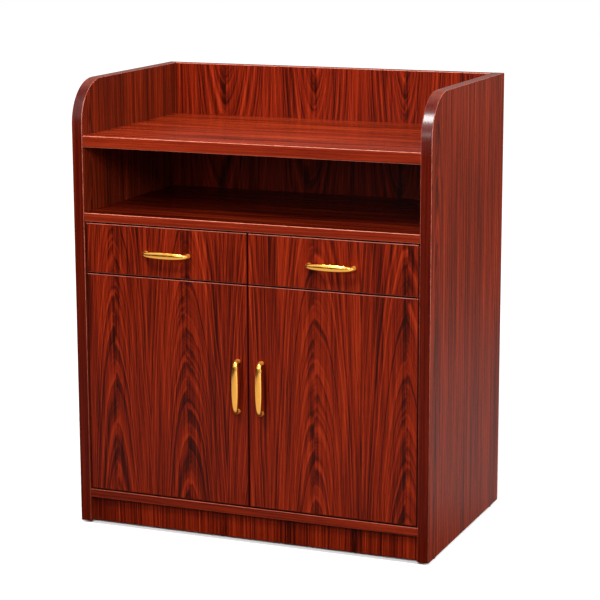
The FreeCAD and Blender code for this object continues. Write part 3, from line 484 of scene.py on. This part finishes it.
# Tones from the darkest to the lightest, each at its place in the figure.
FRONT_TONES = ((0.00, (0.024, 0.0020, 0.0007)), (0.25, (0.065, 0.0044, 0.0012)),
               (0.50, (0.150, 0.0096, 0.0020)), (0.75, (0.240, 0.0170, 0.0034)),
               (1.00, (0.330, 0.0300, 0.0062)))
SIDE_TONES = ((0.00, (0.046, 0.0080, 0.0030)), (0.25, (0.090, 0.0115, 0.0038)),
              (0.50, (0.185, 0.0170, 0.0042)), (0.75, (0.275, 0.0260, 0.0058)),
              (1.00, (0.370, 0.0430, 0.0090)))
# The worktop's tones are a lighter copy of the boards' laminate: painted light, as if lit from above.
PAINTED_LIGHT_TOP_TONES = ((0.00, (0.110, 0.0080, 0.0020)), (0.30, (0.195, 0.0140, 0.0030)),
             (0.60, (0.315, 0.0265, 0.0052)), (1.00, (0.450, 0.0500, 0.0110)))
# The shelves' and panels' tones are a darker copy of the same laminate: painted shade, as inside the bay and
# cupboard where they lie.
PAINTED_SHADE_SHELF_TONES = ((0.00, (0.026, 0.0017, 0.0006)), (0.30, (0.055, 0.0034, 0.0009)),
               (0.60, (0.104, 0.0072, 0.0015)), (1.00, (0.185, 0.0160, 0.0033)))
OAK_TONES = ((0.00, (0.36, 0.23, 0.12)), (0.50, (0.50, 0.34, 0.19)), (1.00, (0.62, 0.45, 0.28)))
HARDBOARD_TONES = ((0.00, (0.20, 0.11, 0.055)), (1.00, (0.30, 0.18, 0.10)))

# Leaves of the veneer print on each kind of board, in metres, and how strongly its figure shows.
BOLD = {"Leaf Width": 0.200, "Leaf Start": 0.04, "Heart Depth": 0.046, "Arch Slope": 0.060,
        "Ring Width": 0.0042, "Waviness": 0.026, "Ring Strength": 0.53, "Streak Strength": 0.42,
        "Heart Strength": 0.22}
LEFT_FIGURE = {**BOLD, "Leaf Width": 0.178, "Leaf Start": 0.144, "Heart Depth": 0.050, "Arch Slope": 0.064}
RIGHT_FIGURE = {**BOLD, "Leaf Width": 0.205, "Leaf Start": -0.1565}
BACK_FIGURE = {**BOLD, "Leaf Width": 0.2225, "Leaf Start": -0.075, "Heart Depth": 0.160,
               "Arch Slope": -0.100, "Ring Width": 0.0054}
PLINTH_FIGURE = {**BOLD, "Leaf Width": 0.31, "Heart Depth": 0.012, "Arch Slope": 0.030}
STRIPED = {"Leaf Width": 0.50, "Leaf Start": 0.10, "Heart Depth": 0.004, "Arch Slope": 0.05,
           "Ring Width": 0.0060, "Waviness": 0.012, "Ring Strength": 0.40, "Streak Strength": 0.55,
           "Heart Strength": 0.30}
CALM = {"Leaf Width": 1.60, "Leaf Start": 0.30, "Heart Depth": 0.060, "Arch Slope": 0.03,
        "Ring Width": 0.0080, "Waviness": 0.020, "Ring Strength": 0.25, "Streak Strength": 0.80,
        "Streak Width": 0.0180, "Heart Strength": 0.0}
TABLE = {**CALM, "Streak Strength": 1.05, "Streak Width": 0.0130}
FINE = {**CALM, "Streak Width": 0.0045, "Streak Strength": 0.60}

# Lowest and highest roughness of each kind of board, and its shader's specular level.
FRONT_GLOSS = (0.22, 0.34)
TOP_GLOSS = (0.18, 0.30)
SHELF_GLOSS = (0.20, 0.32)
BAND_GLOSS = (0.22, 0.30)
FOIL_GLOSS = (0.40, 0.55)
HARDBOARD_GLOSS = (0.50, 0.65)
LOW_SHEEN = 0.07
SIDE_SHEEN = 0.24
TOP_SHEEN = 0.20

PORE_STRENGTH = 0.55
PORE_TONE = (0.35, 0.25, 0.22)
LAMINATE_RELIEF = 0.00004


def laminate(name, turn, shift, stops, figure, gloss, sheen=LOW_SHEEN):
    """A wood-figured laminate, with the grain turned along the board and slid by the shift. Figure holds
    the wood group's own values, gloss the lowest and highest roughness."""
    material, tree, shader = new_material(name)
    place = add(tree, "ShaderNodeTexCoord").outputs["Object"]
    values = {"Location": shift, "Rotation": turn, "Vector": place}
    place = add(tree, "ShaderNodeMapping", values).outputs["Vector"]
    wood = add(tree, "ShaderNodeGroup", {"Place": place, **figure}, node_tree=WOOD).outputs
    pores = times(tree, wood["Pores"], PORE_STRENGTH)
    relief = minus(tree, wood["Fibre"], wood["Pores"])
    give(tree, shader, {
        "Base Color": mixed(tree, pores, colours(tree, wood["Figure"], stops), PORE_TONE, "MULTIPLY"),
        "Roughness": remap(tree, wood["Fibre"], *NOISE_SPAN, *gloss),
        "Normal": bumped(tree, relief, LAMINATE_RELIEF),
        "Specular IOR Level": sheen,
    })
    return material


# ---- edge bands --------------------------------------------------------------------------------------------

BAND_TONES = ((0.00, (0.040, 0.0024, 0.0009)), (0.50, (0.082, 0.0050, 0.0014)),
              (1.00, (0.140, 0.0100, 0.0026)))
LEVEL_BAND_TONES = ((0.00, (0.084, 0.0055, 0.0015)), (0.50, (0.188, 0.0140, 0.0034)),
                    (1.00, (0.310, 0.0290, 0.0070)))
BAND_SHEEN = 0.08
SIDE_BAND_SHEEN = 0.05

# An arris is where the normal leans between two faces: a range over the smaller of its two parts there.
# The top is where it points up. Both carry painted light: a painted highlight on the arris, a lighter top.
ARRIS_LEAN = (0.25, 0.60)
TOP_LEAN = (0.75, 1.0, 0.0, 0.35)
# The painted highlight is patchy, and weaker low down.
HIGHLIGHT_PATCHES = (60.0, 3.0, 0.6)
HIGHLIGHT_PATCH_STRENGTH = (0.3, 0.6, 0.5, 1.0)
HIGHLIGHT_HEIGHT = (0.08, 0.60, 0.35, 1.0)
# Painted highlight tones mixed into a band's colour: dimmer on side, door and drawer bands, brighter on the
# worktop's and shelves' edges.
DIM_HIGHLIGHT_TONE = (0.50, 0.140, 0.092)
BRIGHT_HIGHLIGHT_TONE = (0.85, 0.290, 0.185)

# The curved upper corner is buffed to a coat: a range over the height, and one over the normal's Y, which
# is -1 on the front.
CORNER_COAT = 0.6
CORNER_COAT_ROUGHNESS = 0.24
CORNER_HEIGHT = (0.87, 0.90)
CORNER_FACING = (-0.5, -0.3, 1.0, 0.0)


def painted_arris_highlights():
    """Masks for painted highlights: on an arris across a band's width (Upright) or between its front and its
    top or foot (Level), and a painted lighter upper face of a band (Top)."""
    group, given, wanted = new_group("painted_arris_highlights", ["Normal", "Place"], {}, ["Upright", "Level", "Top"])
    size = add(group, "ShaderNodeVectorMath", {0: given["Normal"]}, operation="ABSOLUTE").outputs[0]
    lean = axes_of(group, size)
    patches = remap(group, noise(group, given["Place"], *HIGHLIGHT_PATCHES), *HIGHLIGHT_PATCH_STRENGTH)
    height = axes_of(group, given["Place"])["Z"]
    painted_highlight = times(group, patches, smooth_step(group, height, *HIGHLIGHT_HEIGHT))
    upright = smaller(group, lean["X"], larger(group, lean["Y"], lean["Z"]))
    level = smaller(group, lean["Y"], lean["Z"])
    give(group, wanted, {
        "Upright": times(group, remap(group, upright, *ARRIS_LEAN), painted_highlight),
        "Level": times(group, remap(group, level, *ARRIS_LEAN), painted_highlight),
        "Top": times(group, remap(group, lean["Z"], *TOP_LEAN), painted_highlight),
    })
    return group


ARRIS_HIGHLIGHT_MASKS = painted_arris_highlights()


def edge_band(name, turn, stops, arrises, highlight_tone, sheen=BAND_SHEEN, coat=0.0):
    """A glossy edge band. The arrises that it names get a painted highlight in the highlight tone, and
    with a coat its curved upper corner is buffed."""
    material = laminate(name, turn, (0.0, 0.0, 0.0), stops, FINE, BAND_GLOSS, sheen)
    tree = material.node_tree
    shader = shader_of(material)
    coordinate = add(tree, "ShaderNodeTexCoord").outputs
    values = {"Normal": coordinate["Normal"], "Place": coordinate["Object"]}
    arris_masks = add(tree, "ShaderNodeGroup", values, node_tree=ARRIS_HIGHLIGHT_MASKS).outputs
    painted_highlight = arris_masks[arrises[0]]
    for other in arrises[1:]:
        painted_highlight = larger(tree, painted_highlight, arris_masks[other])
    wood = shader.inputs["Base Color"].links[0].from_socket
    # Painted highlight: a light tone mixed into the colour on the named arrises and band tops.
    give(tree, shader, {"Base Color": mixed(tree, painted_highlight, wood, highlight_tone)})
    if coat:
        height = remap(tree, axes_of(tree, coordinate["Object"])["Z"], *CORNER_HEIGHT)
        facing = remap(tree, axes_of(tree, coordinate["Normal"])["Y"], *CORNER_FACING)
        buffed = times(tree, times(tree, height, facing), coat)
        give(tree, shader, {"Coat Weight": buffed, "Coat Roughness": CORNER_COAT_ROUGHNESS})
    return material


# ---- metals and plastics -----------------------------------------------------------------------------------

# Detail and roughness of the noise that marks a surface.
METAL_MARKS = (3.0, 0.6)
PLASTIC_SKIN = (2.0, 0.5)
# How marks change a surface: the darkest share of its colour, the lowest and highest share of its
# roughness, and the depth of its relief.
METAL_CHANGE = (0.88, 0.70, 1.40, 0.00001)
PLASTIC_CHANGE = (0.80, 0.85, 1.15, 0.00003)
PLASTIC_CELLS = 900.0

# Colour, roughness, and how many marks go in a metre.
BRASS = ((0.95, 0.43, 0.078), 0.18, 60.0)
ZINC = ((0.62, 0.63, 0.65), 0.28, 220.0)
NICKEL = ((0.66, 0.63, 0.58), 0.18, 160.0)
MAGNET = ((0.16, 0.16, 0.17), 0.50, 500.0)
# Colour and roughness.
NYLON = ((0.80, 0.78, 0.72), 0.45)
BLACK = ((0.02, 0.02, 0.02), 0.50)
BROWN = ((0.13, 0.055, 0.03), 0.50)

# Roughness added to the pulls' brass, over Y: their feet stand further back than their bows.
BRASS_FEET = (-0.257, -0.247, 0.0, 0.50)


def marked(tree, shader, marks, colour, roughness, change):
    """Colour, gloss and relief that follow the marks on a surface."""
    darkest, glossiest, dullest, depth = change
    low, high = NOISE_SPAN
    dark = tuple(part * darkest for part in colour)
    give(tree, shader, {
        "Base Color": colours(tree, marks, ((low, dark), (high, colour))),
        "Roughness": remap(tree, marks, low, high, roughness * glossiest, roughness * dullest),
        "Normal": bumped(tree, marks, depth),
    })


def metal(name, colour, roughness, cells):
    """Bare or plated metal with fine marks that change its gloss."""
    material, tree, shader = new_material(name)
    shader.inputs["Metallic"].default_value = 1.0
    place = add(tree, "ShaderNodeTexCoord").outputs["Object"]
    marks = noise(tree, place, (cells, cells, cells), *METAL_MARKS)
    marked(tree, shader, marks, colour, roughness, METAL_CHANGE)
    return material


def polished_brass():
    """Lacquered brass, bright on the bow and duller at the feet, where the polishing wheel doesn't reach."""
    material = metal("polished_brass", *BRASS)
    tree = material.node_tree
    shader = shader_of(material)
    place = add(tree, "ShaderNodeTexCoord").outputs["Object"]
    feet = smooth_step(tree, axes_of(tree, place)["Y"], *BRASS_FEET)
    polish = shader.inputs["Roughness"].links[0].from_socket
    give(tree, shader, {"Roughness": plus(tree, polish, feet)})
    return material


def moulded(name, colour, roughness):
    """Moulded plastic with a fine leather-like texture."""
    material, tree, shader = new_material(name)
    skin = noise(tree, add(tree, "ShaderNodeTexCoord").outputs["Object"], PLASTIC_CELLS, *PLASTIC_SKIN)
    marked(tree, shader, skin, colour, roughness, PLASTIC_CHANGE)
    return material


# ---- bow pulls ---------------------------------------------------------------------------------------------

# Rings of half a pull, from a foot to the middle: share of the half length, share of the rise, turn in
# degrees (0 lies across a foot, 90 across the bow), thickness and width.
PULL_RINGS = (
    (0.885, 0.000, 0.0, 0.0104, 0.0106),
    (0.888, 0.190, 3.0, 0.0098, 0.0102),
    (0.896, 0.370, 12.0, 0.0096, 0.0102),
    (0.892, 0.530, 29.0, 0.0096, 0.0105),
    (0.855, 0.660, 47.0, 0.0092, 0.0112),
    (0.775, 0.755, 63.0, 0.0086, 0.0122),
    (0.635, 0.812, 75.0, 0.0080, 0.0136),
    (0.450, 0.842, 82.0, 0.0076, 0.0149),
    (0.230, 0.858, 87.0, 0.0072, 0.0158),
    (0.000, 0.862, 90.0, 0.0071, 0.0160),
)
RING_CORNERS = 14
PULL_SMOOTHING = 2
# Points nearer than this are one: at the middle ring, which both halves share, and elsewhere.
MIDDLE_SEAM = 1e-5
OTHER_SEAMS = 1e-6


def bow_pull(name, node, upright):
    """A cast bow pull swept through rings from one foot to the other, the size and place of its CAD node."""
    low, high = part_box(node)
    middle = (low + high) / 2
    size = high - low
    half_length = (size.z if upright else size.x) / 2
    width = size.x if upright else size.z
    shape = bmesh.new()
    loops = []
    for reach, height, lean, thick, wide in PULL_RINGS:
        ring = bmesh.ops.create_circle(shape, segments=RING_CORNERS, radius=0.5)
        place = (Matrix.Translation((0.0, size.y * height, -half_length * reach))
                 @ Matrix.Rotation(math.radians(lean - 90.0), 4, "X")
                 @ Matrix.Diagonal((min(wide, width), thick, 1.0, 1.0)))
        bmesh.ops.transform(shape, matrix=place, verts=ring["verts"])
        loops.append(list({edge for vert in ring["verts"] for edge in vert.link_edges}))
    bmesh.ops.contextual_create(shape, geom=loops[0])
    for first, second in zip(loops, loops[1:]):
        bmesh.ops.bridge_loops(shape, edges=first + second)
    half = shape.verts[:] + shape.edges[:] + shape.faces[:]
    bmesh.ops.mirror(shape, geom=half, axis="Z", merge_dist=MIDDLE_SEAM)
    bmesh.ops.remove_doubles(shape, verts=shape.verts[:], dist=OTHER_SEAMS)
    bmesh.ops.recalc_face_normals(shape, faces=shape.faces[:])
    turn = Matrix.Rotation(math.pi, 4, "Z")
    if not upright:
        turn = Matrix.Rotation(math.pi / 2, 4, "Y") @ turn
    place = Matrix.Translation((middle.x, high.y, middle.z)) @ turn
    bmesh.ops.transform(shape, matrix=place, verts=shape.verts[:])
    mesh = bpy.data.meshes.new(name)
    shape.to_mesh(mesh)
    shape.free()
    for polygon in mesh.polygons:
        polygon.use_smooth = True
    pull = bpy.data.objects.new(name, mesh)
    bpy.context.scene.collection.objects.link(pull)
    smooth = pull.modifiers.new("smooth", "SUBSURF")
    smooth.levels = smooth.render_levels = PULL_SMOOTHING
    return pull


def fit_pulls(brass):
    """Level pulls on the drawers and upright ones on the doors."""
    for side in SIDES:
        carriers = (("drawer", False, f"{side}_drawer_box"), ("door", True, f"{side}_door_leaf"))
        for board, upright, body in carriers:
            pull = bow_pull(f"{side}_{board}_bow_pull", f"{side}_{board}_handle", upright)
            pull.data.materials.append(brass)
            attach(pull, body)
            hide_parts(f"{side}_{board}_handle")


# ---- finishes on the boards and fittings -------------------------------------------------------------------


def dress(material, *names):
    """Give CAD nodes a material."""
    for name in names:
        slots = NODES[name].material_slots
        if not slots:
            NODES[name].data.materials.append(material)
        for slot in slots:
            slot.material = material


def both(*pieces):
    """The names of pieces that are there on the left and on the right."""
    return [f"{side}_{piece}" for piece in pieces for side in SIDES]


def dress_boards():
    """Laminate on the boards of the cabinet, oak foil and hardboard in the drawers."""
    dress(laminate("left_front_laminate", UPRIGHT, (0.0, 0.0, 0.1), FRONT_TONES, LEFT_FIGURE, FRONT_GLOSS),
          "left_door", "left_drawer_front")
    dress(laminate("right_front_laminate", UPRIGHT, (0.0, 0.4, 0.3), FRONT_TONES, RIGHT_FIGURE, FRONT_GLOSS),
          "right_door", "right_drawer_front")
    dress(laminate("plinth_laminate", UPRIGHT, (0.03, 0.4, 0.0), FRONT_TONES, PLINTH_FIGURE, FRONT_GLOSS),
          "front_plinth", "rear_plinth")
    dress(laminate("back_laminate", UPRIGHT, (0.11, 0.3, 0.2), FRONT_TONES, BACK_FIGURE, FRONT_GLOSS),
          "upstand", "back_panel")
    dress(laminate("side_laminate", SIDEWAYS, (0.2, 0.0, 0.0), SIDE_TONES, STRIPED, FRONT_GLOSS, SIDE_SHEEN),
          *both("side_panel"), "drawer_divider")
    dress(laminate("worktop_laminate", LEVEL, (0.0, 0.1, 0.0), PAINTED_LIGHT_TOP_TONES, TABLE, TOP_GLOSS, TOP_SHEEN),
          "worktop")
    dress(laminate("shelf_laminate", LEVEL, (0.0, 0.5, 0.2), PAINTED_SHADE_SHELF_TONES, CALM, SHELF_GLOSS),
          "middle_shelf", "bottom_panel", "adjustable_shelf", "drawer_floor_panel")
    dress(laminate("drawer_board_foil", SIDEWAYS, (0.0, 0.0, 0.3), OAK_TONES, CALM, FOIL_GLOSS),
          *both("drawer_sides", "drawer_back"))
    dress(laminate("hardboard", LEVEL, (0.0, 0.0, 0.3), HARDBOARD_TONES, CALM, HARDBOARD_GLOSS),
          *both("drawer_bottom"))


def dress_edges():
    """Edge bands, each with a painted highlight where it is rounded."""
    dress(edge_band("side_edge_band", UPRIGHT, BAND_TONES, ("Upright", "Top"), DIM_HIGHLIGHT_TONE, SIDE_BAND_SHEEN,
                    CORNER_COAT),
          *both("side_edge_band"))
    dress(edge_band("front_edge_band", UPRIGHT, BAND_TONES, ("Level",), DIM_HIGHLIGHT_TONE),
          *both("door_edge_band", "drawer_edge_band"))
    dress(edge_band("board_edge_band", LEVEL, LEVEL_BAND_TONES, ("Level",), BRIGHT_HIGHLIGHT_TONE), "board_edge_bands")


def dress_fittings():
    """Brass pulls, plated hinges, runners and screws, and plastic rollers, glides and catch."""
    brass = polished_brass()
    dress(brass, *both("drawer_handle", "door_handle"))
    fit_pulls(brass)
    dress(metal("zinc_plate", *ZINC),
          "cam_fasteners", "shelf_pins", "cabinet_runners", "hinge_plate_screws",
          *both("drawer_runners", "strike_plate", "drawer_handle_screws", "door_handle_screws"))
    dress(metal("nickel_plate", *NICKEL),
          "hinge_arms", "hinge_plates", *both("hinge_cups", "hinge_pins"))
    dress(metal("magnet_face", *MAGNET), "catch_magnets")
    dress(moulded("nylon", *NYLON), *both("front_rollers", "rear_rollers"))
    dress(moulded("black_plastic", *BLACK), "foot_glides")
    dress(moulded("brown_plastic", *BROWN), "catch_housing")


bpy.context.scene.view_settings.view_transform = "Standard"
set_camera()
light_room()
lay_floor()
dress_boards()
dress_edges()
dress_fittings()
